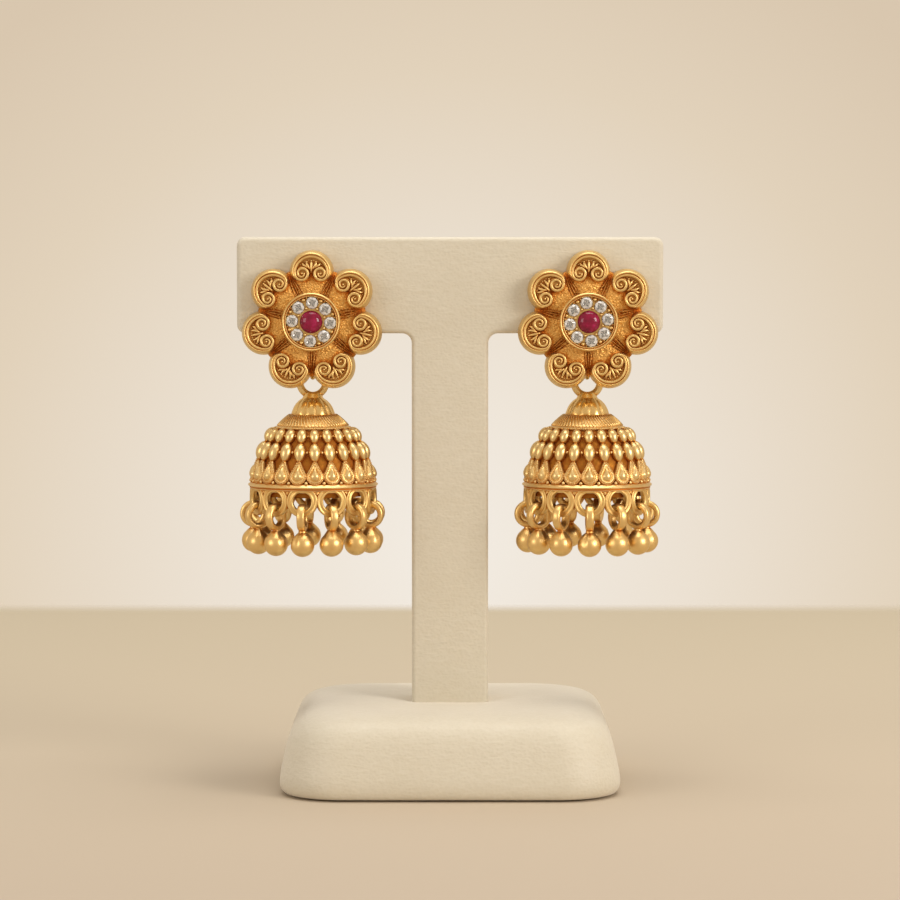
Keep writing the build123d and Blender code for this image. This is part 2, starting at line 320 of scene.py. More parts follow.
base_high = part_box("stand_base")[1]
base_half_depth = base_high.y / MM
base_half_width = base_high.x / MM
bpy.ops.mesh.primitive_plane_add(size=2)
base = bpy.context.object
bpy.ops.object.mode_set(mode="EDIT")
bpy.ops.transform.resize(
    value=(BASE_RISE[0][0], BASE_RISE[0][0] + base_half_depth - base_half_width, 1))
bpy.ops.mesh.bevel(offset=BASE_CORNER_R, segments=16, affect="VERTICES")
less_deep = base_half_width - base_half_depth
for (before, low), (after, high) in zip(BASE_RISE, BASE_RISE[1:]):
    bpy.ops.mesh.extrude_region_move(TRANSFORM_OT_translate={"value": (0, 0, high - low)})
    bpy.ops.transform.resize(
        value=(after / before, (after - less_deep) / (before - less_deep), 1),
        center_override=(0, 0, high))
finish_mesh(base)
apply_modifier(base, "SUBSURF", levels=1, render_levels=1)
base.data.materials.append(leatherette)
move(base, scale=MM)
hand_over(base, "leatherette_base", "stand", "cream_leatherette", "stand_base")


# ----------------------------------------------------------
# Stand tee: one board with a crossbar and a post, wrapped in the same leatherette, whose cover
# is drawn round every edge. The post's foot is glued into the base, and a hole through each arm
# takes an ear post.
BAR_HEIGHT = 15.7
POST_HALF_WIDTH = 6.25
FOOT_Z = 12.2
BAR_CORNER_R = 1.4
UNDER_ARM_R = 1.6
BOARD_EDGE_R = 0.75
PIN_HOLE_R = 0.75
NEAR = 0.1  # how near a place an edge is picked

tee_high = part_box("stand_tee")[1]
bar_half = tee_high.x / MM
board_half = tee_high.y / MM
bar_top = tee_high.z / MM
bar_bottom = bar_top - BAR_HEIGHT
bpy.ops.mesh.primitive_cube_add(size=2)
tee = bpy.context.object
bpy.ops.object.mode_set(mode="EDIT")
bpy.ops.transform.resize(value=(bar_half, board_half, BAR_HEIGHT / 2))
bpy.ops.transform.translate(value=(0, 0, bar_top - BAR_HEIGHT / 2))
for x in (-POST_HALF_WIDTH, POST_HALF_WIDTH):
    bpy.ops.mesh.select_all(action="SELECT")
    bpy.ops.mesh.bisect(plane_co=(x, 0, 0), plane_no=(1, 0, 0))
pick(tee, "FACE", lambda at, normal: normal.z < -0.9 and abs(at.x) < POST_HALF_WIDTH)
bpy.ops.mesh.extrude_region_move(TRANSFORM_OT_translate={"value": (0, 0, FOOT_Z - bar_bottom)})
pick(tee, "EDGE", lambda at, along: abs(along.y) > 0.9 and abs(at.x) > bar_half - NEAR)
bpy.ops.mesh.bevel(offset=BAR_CORNER_R, segments=6, affect="EDGES")
pick(tee, "EDGE", lambda at, along: abs(along.y) > 0.9 and abs(at.z - bar_bottom) < NEAR
     and abs(abs(at.x) - POST_HALF_WIDTH) < NEAR)
bpy.ops.mesh.bevel(offset=UNDER_ARM_R, segments=6, affect="EDGES")
edit_all(tee)
bpy.ops.mesh.dissolve_limited(angle_limit=math.radians(1))
pick(tee, "EDGE", lambda at, along: abs(abs(at.y) - board_half) < 0.01 and abs(along.y) < 0.1
     and at.z > FOOT_Z + NEAR)
bpy.ops.mesh.bevel(offset=BOARD_EDGE_R, segments=5, affect="EDGES", clamp_overlap=False)
finish_mesh(tee)
bpy.ops.object.shade_smooth_by_angle(angle=math.radians(40))
for side in ("left", "right"):
    low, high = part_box(side + "_ear_post")
    pin = (low + high) / 2 / MM
    bpy.ops.mesh.primitive_cylinder_add(
        vertices=32, radius=PIN_HOLE_R, depth=4 * board_half, location=(pin.x, 0, pin.z),
        rotation=(math.pi / 2, 0, 0))
    drill = bpy.context.object
    apply_modifier(tee, "BOOLEAN", operation="DIFFERENCE", object=drill)
    bpy.data.objects.remove(drill)
tee.data.materials.append(leatherette)
move(tee, scale=MM)
hand_over(tee, "leatherette_tee", "stand", "cream_leatherette", "stand_tee")


# ----------------------------------------------------------
# Flower stud: a lost-wax brass casting with matt antique gold plate. Seven cupped petals, each
# with a bright lip, a wire that curls into two scrolls and a fan of fronds on its sunk floor,
# stand on a stippled plate with ridges in its valleys. A loop is soldered behind the lower edge.
PETALS = 7
PETAL_CENTRE = 8.05
# petal: radius round its own centre and height above the flower's back, from the back to the floor
PETAL_SHELL = [
    (0, 0.0), (3.46, 0.0), (3.58, 0.14), (3.6, 0.55), (3.53, 1.2), (3.42, 1.8), (3.3, 2.35),
    (3.22, 2.72), (3.14, 2.93), (3.04, 3.03), (2.94, 3.04), (2.86, 2.97), (2.82, 2.86),
    (2.79, 2.64), (2.74, 2.42), (2.62, 2.3), (2.3, 2.25), (1.3, 2.23), (0, 2.22)]
# the petal's inner side is two lobes, one round each scroll, with a low notch between them
LOBE_SIDE = 1.85
LOBE_HALF_WIDTH = 1.75
LOBE_DEPTH = 1.5
NOTCH_Z = 2.2
NOTCH_RISE = 0.85
# and it is cut off on a slope that faces the middle of the flower
SLOPE_AT = (0, 6.95, 2.9)
SLOPE_NORMAL = (0, -0.62, 0.78)
# the wire: an arch under the lip, whose ends curl into scrolls that rise a little to their eyes
SCROLL_SIDE = 1.5
SCROLL_CENTRE = 7.84
SCROLL_TURNS = 1.55
SCROLL_OUTER = 1.18
SCROLL_INNER = 0.3
SCROLL_EYE_Z = 2.86
SCROLL_SINK = 0.1
ARCH_TOP_Y = 10.62
ARCH_SIDE_X = 2.68
ARCH_Z = 2.76
WIRE_R = 0.26
WIRE_TIP_R = 0.15
SCROLL_BOSS = [
    (0, 0.8), (1.22, 0.8), (1.29, 1.4), (1.28, 2.3), (1.2, 2.5), (1.0, 2.52), (0.8, 2.44),
    (0, 2.42)]
# fronds: where each starts and ends beside the petal's middle line, and how far it bows outwards
FRONDS = [
    ((0.0, 8.0), (0.0, 9.95), 0.0), ((0.16, 8.5), (0.78, 9.78), 0.16),
    ((0.3, 8.75), (1.42, 9.42), 0.2)]
FROND_Z = 2.4
# grains laid between the fronds and the arch: place beside the middle line, place along it, radius
GRAINS = [
    (0.4, 9.98, 0.15), (1.12, 9.72, 0.14), (1.72, 9.3, 0.14), (2.12, 9.0, 0.12),
    (0.42, 9.35, 0.12)]
GRAIN_FLOOR_Z = 2.36
PLATE_R = 8.95
PLATE_TOP_R = 8.85
PLATE_STEP = 0.28
TONGUE_H = 2.05
PLATE_DROP = 0.95
VALLEY_DEPTH = 0.5
VALLEY_HALF_WIDTH = 0.75
# three thin ridges in each valley: place beside its line, height, thickness
VALLEY_RIDGES = ((-0.66, 1.86, 0.10), (0.02, 1.62, 0.13), (0.64, 1.84, 0.08))
RIDGE_START = 4.4
RIDGE_LENGTH = 3.5
LOOP_R = 1.37
LOOP_WIRE_R = 0.42
LOOP_Y = -7.75
LOOP_Z = -2.2
LOOP_LUG = [(0, -1.0), (0.55, -1.0), (0.6, -0.6), (0.6, 0.3), (0, 0.3)]
FLOWER_BACK_Y = -4.6 * MM  # the flower lies 0.1 mm off the bar's cover
GOLD_BRIGHT = "#f3d18e"
# in the crevices, as painted shade, where it is dull, and where it is worn, in patches this wide
GOLD_SHADE_AND_WEAR = ("#ba6524", "#ca8537", "#dba85e")
WORN_PATCH = 1.8


def turned(profile, steps):
    """A piece turned on a lathe: its profile of (radius, height) is extruded and spun round Z."""
    bpy.ops.mesh.primitive_plane_add(size=1)
    piece = bpy.context.object
    bpy.ops.object.mode_set(mode="EDIT")
    bpy.ops.mesh.select_mode(type="VERT")
    bpy.ops.mesh.merge(type="CENTER")
    bpy.ops.transform.translate(value=(profile[0][0], 0, profile[0][1]))
    for before, after in zip(profile, profile[1:]):
        bpy.ops.mesh.extrude_region_move(
            TRANSFORM_OT_translate={"value": (after[0] - before[0], 0, after[1] - before[1])})
    bpy.ops.mesh.select_all(action="SELECT")
    bpy.ops.mesh.spin(steps=steps, angle=2 * math.pi, center=(0, 0, 0), axis=(0, 0, 1))
    finish_mesh(piece)
    return piece


def ring_of(piece, count):
    """Copies a piece's whole mesh round Z, evenly, to make a ring of count."""
    edit_all(piece)
    bpy.ops.mesh.spin(steps=count - 1, dupli=True, angle=2 * math.pi * (count - 1) / count,
                      center=(0, 0, 0), axis=(0, 0, 1))
    bpy.ops.object.mode_set(mode="OBJECT")
    return piece


def wire(points, radii, sides=8):
    """A round wire through points, with a radius at each, and closed rounded-off ends."""
    line = bpy.data.curves.new("wire", "CURVE")
    line.dimensions = "3D"
    line.bevel_depth = 1.0
    line.bevel_resolution = sides // 2 - 2
    line.use_fill_caps = True
    spline = line.splines.new("POLY")
    spline.points.add(len(points) - 1)
    for point, place, radius in zip(spline.points, points, radii):
        point.co = (*place, 1)
        point.radius = radius
    piece = bpy.data.objects.new("wire", line)
    bpy.context.collection.objects.link(piece)
    only(piece)
    bpy.ops.object.convert(target="MESH")
    finish_mesh(piece)
    return piece


def grain_bead(radius, at, level=2):
    """A soldered grain of gold."""
    bpy.ops.mesh.primitive_ico_sphere_add(subdivisions=level, radius=radius, location=at)
    piece = bpy.context.object
    bpy.ops.object.transform_apply()
    bpy.ops.object.shade_smooth()
    return piece


def joined(pieces):
    """Makes one piece of several."""
    only(pieces[0])
    for piece in pieces[1:]:
        piece.select_set(True)
    bpy.ops.object.join()
    return bpy.context.object


def copy_of(piece):
    """A copy with its own mesh."""
    only(piece)
    bpy.ops.object.duplicate(linked=False)
    return bpy.context.object


def face_forwards(piece, node, y):
    """Turns a piece that lies face up, and takes it from millimetres to a node's middle, at y."""
    low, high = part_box(node)
    move(piece, turn=(90, 0, 0), at=((low.x + high.x) / 2, y, (low.z + high.z) / 2), scale=MM)


def antique_gold(name, roughness, grain_size, grain_depth, stipple=0.0, crevice_reach=0.7,
                 bright=GOLD_BRIGHT, shade_and_wear_tones=GOLD_SHADE_AND_WEAR):
    """Gold plate over cast brass, bright where handled, with red-brown painted shade in crevices.
    """
    material = empty_material(name)
    tree = material.node_tree
    place = add_node(tree, "ShaderNodeTexCoord").outputs["Object"]
    grain = add_node(tree, "ShaderNodeTexNoise", {}, {
        "Vector": place, "Scale": 1 / (grain_size * MM), "Detail": 2.5, "Roughness": 0.6})
    height = grain.outputs["Fac"]
    if stipple:
        dots = add_node(tree, "ShaderNodeTexVoronoi", {"feature": "SMOOTH_F1"}, {
            "Vector": place, "Scale": 1 / (stipple * MM), "Smoothness": 0.3})
        height = add_node(tree, "ShaderNodeMath", {"operation": "MULTIPLY_ADD"}, {
            0: dots.outputs["Distance"], 1: -1.6, 2: height}).outputs[0]
    bump = add_node(tree, "ShaderNodeBump", {}, {
        "Height": height, "Strength": 0.9, "Distance": grain_depth * MM})
    # painted shade: an occlusion test darkens the colour in crevices and hollows
    openness = add_node(tree, "ShaderNodeAmbientOcclusion", {"samples": 8, "only_local": True}, {
        "Distance": crevice_reach * MM})
    patches = add_node(tree, "ShaderNodeTexNoise", {}, {
        "Vector": place, "Scale": 1 / (WORN_PATCH * MM), "Detail": 3})
    shade_and_wear = add_node(tree, "ShaderNodeMath", {"operation": "MULTIPLY_ADD"}, {
        0: patches.outputs["Fac"], 1: 0.35, 2: openness.outputs["AO"]})
    # painted shade also lies between the punched dots
    if stipple:
        shade_and_wear = add_node(tree, "ShaderNodeMath", {"operation": "MULTIPLY_ADD"}, {
            0: dots.outputs["Distance"], 1: -0.45, 2: shade_and_wear.outputs[0]})
    shade_and_wear = add_node(tree, "ShaderNodeMapRange", {}, {
        "Value": shade_and_wear.outputs[0], "From Min": 0.40, "From Max": 1.15})
    colour = add_node(tree, "ShaderNodeValToRGB", {}, {"Fac": shade_and_wear.outputs["Result"]})
    set_ramp(colour, list(zip((0.0, 0.3, 0.65, 1.0), (*shade_and_wear_tones, bright))))
    dulled = add_node(tree, "ShaderNodeMapRange", {}, {
        "Value": shade_and_wear.outputs["Result"], "To Min": roughness + 0.22, "To Max": roughness})
    plate = add_node(tree, "ShaderNodeBsdfPrincipled", {}, {
        "Base Color": colour.outputs["Color"], "Metallic": 1.0,
        "Roughness": dulled.outputs["Result"], "Normal": bump.outputs[0]})
    add_node(tree, "ShaderNodeOutputMaterial", {}, {"Surface": plate.outputs[0]})
    return material


# Cast brass under antique gold plate: the mould leaves a fine skin of 0.16 mm grain, and the plate
# is satin on the lips and wires, with red-brown painted shade in its crevices.
satin_gold = antique_gold(
    "satin_antique_gold_plate", roughness=0.4, grain_size=0.16, grain_depth=0.018,
    crevice_reach=0.5, bright="#e6c684")
# The plate's ground is punched all over with 0.25 mm dots, drawn at 0.32 mm so that they show.
# Painted shade darkens its ground between the dots and in its hollows.
stippled_gold = antique_gold(
    "stippled_antique_gold_plate", roughness=0.4, grain_size=0.2, grain_depth=0.1,
    stipple=0.32, crevice_reach=0.9, bright="#e4b266")

petal_shell = turned(PETAL_SHELL, 72)
petal_r = max(radius for radius, height in PETAL_SHELL)
for vertex in petal_shell.data.vertices:
    radius = math.hypot(vertex.co.x, vertex.co.y)
    if vertex.co.y < 0 and radius > 0.01:
        across = petal_r * abs(vertex.co.x) / radius
        lobe = math.sqrt(max(0.0, 1 - ((across - LOBE_SIDE) / LOBE_HALF_WIDTH) ** 2))
        vertex.co.y = -LOBE_DEPTH * lobe * radius / petal_r
        # the lip runs down into the notch between the two lobes
        if across < LOBE_SIDE:
            vertex.co.z = min(vertex.co.z, NOTCH_Z + NOTCH_RISE * min(1.0, lobe * 1.3))
move(petal_shell, at=(0, PETAL_CENTRE, 0))
edit_all(petal_shell)
bpy.ops.mesh.bisect(plane_co=SLOPE_AT, plane_no=SLOPE_NORMAL, use_fill=True, clear_outer=True)
finish_mesh(petal_shell)
bpy.ops.object.shade_smooth_by_angle(angle=math.radians(50))

left_curl = []
curl_steps = 34
for i in range(curl_steps):
    along = i / (curl_steps - 1)
    angle = math.pi + 2 * math.pi * SCROLL_TURNS * (1 - along)
    radius = SCROLL_INNER + (SCROLL_OUTER - SCROLL_INNER) * along ** 0.8
    left_curl.append((-SCROLL_SIDE + radius * math.cos(angle),
                      SCROLL_CENTRE + radius * math.sin(angle), SCROLL_EYE_Z - SCROLL_SINK * along,
                      WIRE_TIP_R + (WIRE_R - WIRE_TIP_R) * min(1, along * 1.8)))
arch = []
arch_steps = 30
for i in range(1, arch_steps):
    angle = math.pi * (1 - i / arch_steps)
    arch.append((ARCH_SIDE_X * math.cos(angle),
                 SCROLL_CENTRE + (ARCH_TOP_Y - SCROLL_CENTRE) * math.sin(angle), ARCH_Z, WIRE_R))
path = left_curl + arch + [(-x, y, z, r) for x, y, z, r in reversed(left_curl)]
petal_parts = [petal_shell, wire([p[:3] for p in path], [p[3] for p in path])]
for side in (-1, 1):
    boss = turned(SCROLL_BOSS, 32)
    move(boss, at=(side * SCROLL_SIDE, SCROLL_CENTRE, 0))
    petal_parts.append(boss)
    petal_parts.append(grain_bead(0.2, (side * SCROLL_SIDE, SCROLL_CENTRE, 2.84)))
    for x, y, radius in GRAINS:
        petal_parts.append(grain_bead(radius, (side * x, y, GRAIN_FLOOR_Z + radius), 1))
    for start, end, bow in FRONDS:
        if start[0] == 0 and side == 1:
            continue
        points, radii = [], []
        for i in range(7):
            along = i / 6
            x = start[0] + (end[0] - start[0]) * along + bow * math.sin(math.pi * along)
            y = start[1] + (end[1] - start[1]) * along
            z = FROND_Z + 0.2 * math.sin(math.pi * min(1, 0.2 + 0.7 * along))
            points.append((side * x, y, z))
            radii.append(0.1 + 0.15 * math.sin(math.pi * (0.12 + 0.75 * along)))
        petal_parts.append(wire(points, radii, 6))
        petal_parts.append(grain_bead(0.22, (side * end[0], end[1], 2.5), 1))
petal = joined(petal_parts)
petals = ring_of(petal, PETALS)
petals.data.materials.append(satin_gold)

plate_profile = [(0, 0.15), (8.7, 0.15), (PLATE_R, 0.27), (PLATE_R, 0.5), (PLATE_TOP_R, 0.75)]
plate_profile += [(PLATE_TOP_R - PLATE_STEP * i, 1.0) for i in range(1, 17)] + [(0, 1.0)]
plate = turned(plate_profile, PETALS * 32)
for vertex in plate.data.vertices:
    if vertex.co.z > 0.9:
        radius = math.hypot(vertex.co.x, vertex.co.y)
        around = math.atan2(vertex.co.x, vertex.co.y) * PETALS / (2 * math.pi)
        to_valley = abs(around - math.floor(around) - 0.5) * 2 * math.pi / PETALS
        from_valley = radius * math.sin(to_valley)
        valley = math.exp(-(from_valley / VALLEY_HALF_WIDTH) ** 2)
        # the ground drops away between two petals, and stays high up into the notch of each petal
        outwards = max(0.0, min(1.0, (radius - 6.6) / 2.2)) * math.exp(-(from_valley / 1.9) ** 2)
        vertex.co.z = (TONGUE_H - PLATE_DROP * outwards + 0.12 * min(1, from_valley / 1.5)
                       - VALLEY_DEPTH * valley * (1 - 0.6 * outwards))
plate.data.materials.append(stippled_gold)

# the ridges close up towards the notch between two petals
valley_parts = []
for shift, top, thickness in VALLEY_RIDGES:
    points, radii = [], []
    for i in range(7):
        points.append((shift * (1 - 0.7 * i / 6), RIDGE_START + RIDGE_LENGTH * i / 6,
                       top + 0.1 * math.sin(math.pi * i / 6) - 0.3 * (i / 6) ** 3))
        radii.append(thickness * (1 - 0.45 * abs(i / 3 - 1)))
    valley_parts.append(wire(points, radii, 6))
ridges = joined(valley_parts)
move(ridges, turn=(0, 0, 180 / PETALS))
ridges = ring_of(ridges, PETALS)
ridges.data.materials.append(stippled_gold)

# the hanging loop stands in the upright plane across the bar, on a short lug behind the plate
bpy.ops.mesh.primitive_torus_add(
    major_radius=LOOP_R, minor_radius=LOOP_WIRE_R, major_segments=40, minor_segments=14)
loop = bpy.context.object
bpy.ops.object.shade_smooth()
move(loop, turn=(0, 90, 0), at=(0, LOOP_Y, LOOP_Z))
lug = turned(LOOP_LUG, 20)
move(lug, at=(0, LOOP_Y, 0))
loop = joined([loop, lug])
loop.data.materials.append(satin_gold)
flower = joined([petals, plate, ridges, loop])

for side in ("left", "right"):
    stud = copy_of(flower)
    face_forwards(stud, side + "_setting", FLOWER_BACK_Y)
    hand_over(stud, side + "_petalled_stud", "stand", "antique_gold", side + "_flower")
bpy.data.objects.remove(flower)


# ----------------------------------------------------------
# Stone setting: a round collet turned and soldered in the middle of the flower, of the same gold
# plated brass. Its raised lip is milled on the inside, its floor is drilled for eight clear
# stones and the ruby, and beads raised from the floor hold the stones between them.
SETTING_PROFILE = [
    (0, 2.0), (4.45, 2.0), (4.7, 2.4), (4.76, 3.3), (4.76, 3.95), (4.69, 4.16), (4.55, 4.26),
    (4.42, 4.2), (4.35, 4.06), (4.29, 4.08), (4.22, 4.17), (4.12, 4.14), (4.06, 4.0),
    (4.03, 3.6), (3.92, 3.5), (0, 3.5)]
STONES = 8
STONE_RING_R = 3.1
STONE_R = 0.98
STONE_GIRDLE_H = 3.93
RUBY_R = 1.83
SEAT_ROOM = 0.03
# beads between the seats: radius, distance from the middle, height
OUTER_BEAD = (0.33, 3.74, 3.74)
INNER_BEAD = (0.25, 2.3, 3.82)
# and a pair at each side of the outer one: radius, place beside it, distance, height
SIDE_BEADS = ((0.17, 0.62, 3.86, 3.72), (0.17, -0.62, 3.86, 3.72))
LIP_MILLS = 84
STONE_TURN = {"left": -3.0, "right": 7.5}  # degrees, as the two were set by hand

setting = turned(SETTING_PROFILE, 72)
bpy.ops.object.shade_smooth_by_angle(angle=math.radians(55))
bpy.ops.mesh.primitive_cylinder_add(
    vertices=32, radius=STONE_R + SEAT_ROOM, depth=2, location=(0, STONE_RING_R, 4.1))
drill = bpy.context.object
bpy.ops.object.transform_apply()
ring_of(drill, STONES)
bpy.ops.mesh.primitive_cylinder_add(
    vertices=40, radius=RUBY_R + SEAT_ROOM, depth=2, location=(0, 0, 4.05))
middle_drill = bpy.context.object
bpy.ops.object.transform_apply()
for tool in (drill, middle_drill):
    apply_modifier(
        setting, "BOOLEAN", operation="DIFFERENCE", object=tool, solver="EXACT", use_self=True)
    bpy.data.objects.remove(tool)
finish_mesh(setting, 0.002)
bpy.ops.object.shade_smooth_by_angle(angle=math.radians(50))
outer_beads = ring_of(grain_bead(OUTER_BEAD[0], (0, *OUTER_BEAD[1:])), STONES)
inner_beads = ring_of(grain_bead(INNER_BEAD[0], (0, *INNER_BEAD[1:])), STONES)
lip_mill = ring_of(grain_bead(0.1, (0, 4.2, 4.15), 1), LIP_MILLS)
side_beads = joined([grain_bead(radius, at) for radius, *at in SIDE_BEADS])
beads = joined([outer_beads, inner_beads, ring_of(side_beads, STONES)])
move(beads, turn=(0, 0, 180 / STONES))
setting = joined([setting, beads, lip_mill])
setting.data.materials.append(satin_gold)
for side in ("left", "right"):
    collet = copy_of(setting)
    move(collet, turn=(0, 0, STONE_TURN[side]))
    face_forwards(collet, side + "_setting", FLOWER_BACK_Y)
    hand_over(collet, side + "_stone_collet", "stand", "antique_gold", side + "_setting")
bpy.data.objects.remove(setting)


# ----------------------------------------------------------
# Clear stones: eight round brilliants of cubic zirconia, foiled behind, each set in its own
# drilled seat with its table level with the lip.

# stone: corners, radius, height above the girdle, and whether they sit halfway round a step
STONE_CORNERS = [
    (8, 0.57, 0.33, 0), (8, 0.8, 0.21, 1), (16, 0.98, 0.03, 0), (16, 0.98, -0.04, 0),
    (8, 0.46, -0.46, 1), (1, 0.0, -0.8, 0)]
FACET_WEDGE = 22.5  # degrees of the stone's round that each facet takes

# Cut crystal of high index: most facets let the eye in, and a cloudier copy paints whiter glints
cuts = []
for name, clearness in (("clear_cubic_zirconia", 0.82), ("painted_glint_cubic_zirconia", 0.35)):
    cut = empty_material(name)
    crystal = add_node(cut.node_tree, "ShaderNodeBsdfPrincipled", {}, {
        "Base Color": linear("#fffaf2"), "Roughness": 0.02, "IOR": 1.75,
        "Transmission Weight": clearness})
    add_node(cut.node_tree, "ShaderNodeOutputMaterial", {}, {"Surface": crystal.outputs[0]})
    cuts.append(cut)
# Silvered foil behind the stone: a mirror that throws the light back through it, and a grey copy
# that paints shade
foils = []
for name, tone in (("bright_silver_foil", "#ffffff"), ("painted_shade_silver_foil", "#8c8c8e")):
    foil = empty_material(name)
    mirror = add_node(foil.node_tree, "ShaderNodeBsdfPrincipled", {}, {
        "Base Color": linear(tone), "Metallic": 1.0, "Roughness": 0.12})
    add_node(foil.node_tree, "ShaderNodeOutputMaterial", {}, {"Surface": mirror.outputs[0]})
    foils.append(foil)

corners = []
for count, radius, height, halfway in STONE_CORNERS:
    for i in range(count):
        angle = 2 * math.pi * (i + halfway / 2) / count
        corners.append((radius * math.cos(angle), radius * math.sin(angle), height))
stone_mesh = bpy.data.meshes.new("stone")
stone_mesh.from_pydata(corners, [], [])
stone = bpy.data.objects.new("stone", stone_mesh)
bpy.context.collection.objects.link(stone)
edit_all(stone)
bpy.ops.mesh.convex_hull()
bpy.ops.mesh.normals_make_consistent(inside=False)
bpy.ops.object.mode_set(mode="OBJECT")
bpy.ops.object.shade_flat()
for material in cuts + foils:
    stone.data.materials.append(material)
for face in stone.data.polygons:
    wedge = int(math.degrees(math.atan2(face.center.y, face.center.x)) % 360 // FACET_WEDGE)
    if face.center.z < -0.05:
        # painted shade: every third facet of the pavilion takes the grey foil, as if turned from
        # the light
        face.material_index = 3 if wedge % 3 == 0 else 2
    # painted glint: every other facet round the crown takes the cloudier, whiter crystal
    elif face.normal.z < 0.98 and wedge % 2 == 0:
        face.material_index = 1
for side in ("left", "right"):
    for number in range(1, STONES + 1):
        node = f"{side}_accent_stone_{number}"
        brilliant = copy_of(stone)
        move(brilliant, turn=(0, 0, random.Random(number).uniform(0, 45)))
        face_forwards(brilliant, node, FLOWER_BACK_Y - STONE_GIRDLE_H * MM)
        hand_over(brilliant, f"{side}_brilliant_{number}", "stand", "clear_stone", node)
bpy.data.objects.remove(stone)


# ----------------------------------------------------------
# Ruby: a round cabochon of red glass stone, flat below and polished to a dome above. It is
# cemented into the middle seat and stands a little proud of the lip.
RUBY_PROFILE = [
    (0, 2.95), (1.55, 2.95), (1.74, 3.1), (1.81, 3.4), (1.82, 3.72), (1.77, 3.94), (1.64, 4.2),
    (1.42, 4.43), (1.12, 4.61), (0.8, 4.73), (0.42, 4.8), (0, 4.82)]
RUBY_CLOUD = 1.1

# Polished ruby: a deep crimson body with paler clouds about 1 mm across, and a sharp highlight
ruby_glass = empty_material("polished_ruby")
tree = ruby_glass.node_tree
where = add_node(tree, "ShaderNodeTexCoord").outputs["Object"]
cloud = add_node(tree, "ShaderNodeTexNoise", {}, {
    "Vector": where, "Scale": 1 / (RUBY_CLOUD * MM), "Detail": 2})
red = add_node(tree, "ShaderNodeValToRGB", {}, {"Fac": cloud.outputs["Fac"]})
set_ramp(red, [(0.35, "#76042a"), (0.55, "#8c0634"), (0.75, "#ab1850")])
body = add_node(tree, "ShaderNodeBsdfPrincipled", {}, {
    "Base Color": red.outputs["Color"], "Roughness": 0.06, "IOR": 1.46})
add_node(tree, "ShaderNodeOutputMaterial", {}, {"Surface": body.outputs[0]})

ruby = turned(RUBY_PROFILE, 48)
ruby.data.materials.append(ruby_glass)
for side in ("left", "right"):
    cabochon = copy_of(ruby)
    face_forwards(cabochon, side + "_ruby", FLOWER_BACK_Y)
    hand_over(cabochon, side + "_cabochon", "stand", "ruby", side + "_ruby")
bpy.data.objects.remove(ruby)


# ----------------------------------------------------------
# Ear post: a plain drawn pin soldered behind the flower, through its hole in the bar, with a
# round screw back of the same gold whose edge is milled for the fingers.
PIN_R = 0.45
# screw back: how far in from its edge, and how far in from its outer face
SCREW_BACK = [
    (0.25, 1.3), (0.1, 1.15), (0.05, 0.65), (0.1, 0.2), (0.35, 0.02), (0.7, 0), (0.9, 0.16),
    (1.3, 0.2)]
MILLED_TOOTH = [(0, -0.42), (0.1, -0.42), (0.13, -0.3), (0.13, 0.3), (0.1, 0.42), (0, 0.42)]
MILLED_TEETH = 36

for side in ("left", "right"):
    low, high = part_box(side + "_ear_post")
    length = (high.y - low.y) / MM
    back_r = (high.x - low.x) / 2 / MM
    pin = turned([(0, 0), (PIN_R, 0), (PIN_R, length - 1.3),
                  *[(back_r - edge, length - face) for edge, face in SCREW_BACK],
                  (0.9, length - 0.12), (0.6, length), (0, length)], 48)
    bpy.ops.object.shade_smooth_by_angle(angle=math.radians(40))
    tooth = turned(MILLED_TOOTH, 8)
    move(tooth, at=(0, back_r - 0.1, length - 0.66))
    pin = joined([pin, ring_of(tooth, MILLED_TEETH)])
    pin.data.materials.append(satin_gold)
    move(pin, turn=(-90, 0, 0), at=((low.x + high.x) / 2, low.y, (low.z + high.z) / 2), scale=MM)
    hand_over(pin, side + "_pin_and_back", "stand", "antique_gold", side + "_ear_post")


# ----------------------------------------------------------
# Bells: each is a dome of soldered brass, antique gold plated. A grooved ring and a fluted bud
# stand on a ribbed collar; three rows of beads run down over a rough sheet dome to a ridged rim,
# and thirteen rings are soldered under the rim to carry the drops.
COLUMNS = 22
FLUTES = 11
COLLAR_RIBS = 64
COLLAR_MILLS = 124
RIM_RINGS = 13
BELL_TURN = {"left": 4.4, "right": 0.0}  # degrees, as the two were set by hand
RIM_TURN = {"left": -7.6, "right": 0.0}
TOP_RING_R = 2.1
TOP_RING_WIRE_R = 0.6
TOP_RING_Z = 65.5
GROOVE = 0.07
GROOVED_STEPS = (3, 4, 8, 9, 15, 16, 20, 21)  # of the 24 round the ring's section
BUD = [
    (1.3, 63.9), (1.5, 63.6), (1.62, 63.2), (1.75, 62.95), (2.35, 62.55), (2.85, 62.05),
    (3.2, 61.5), (3.42, 61.0), (3.56, 60.6), (3.62, 60.35), (3.6, 60.2), (3.5, 60.05)]
FLUTE_DEPTH = 0.09  # as a share of the bud's radius
FLUTES_FROM_Z = 60.15
FLUTES_TO_Z = 63.1
COLLAR = [
    (3.2, 60.25), (3.85, 60.25), (4.0, 60.18), (5.0, 59.4), (5.75, 58.62), (5.95, 58.4),
    (6.15, 58.32), (6.24, 58.15), (6.15, 57.95), (5.8, 57.9), (3.2, 59.4), (3.2, 60.25)]
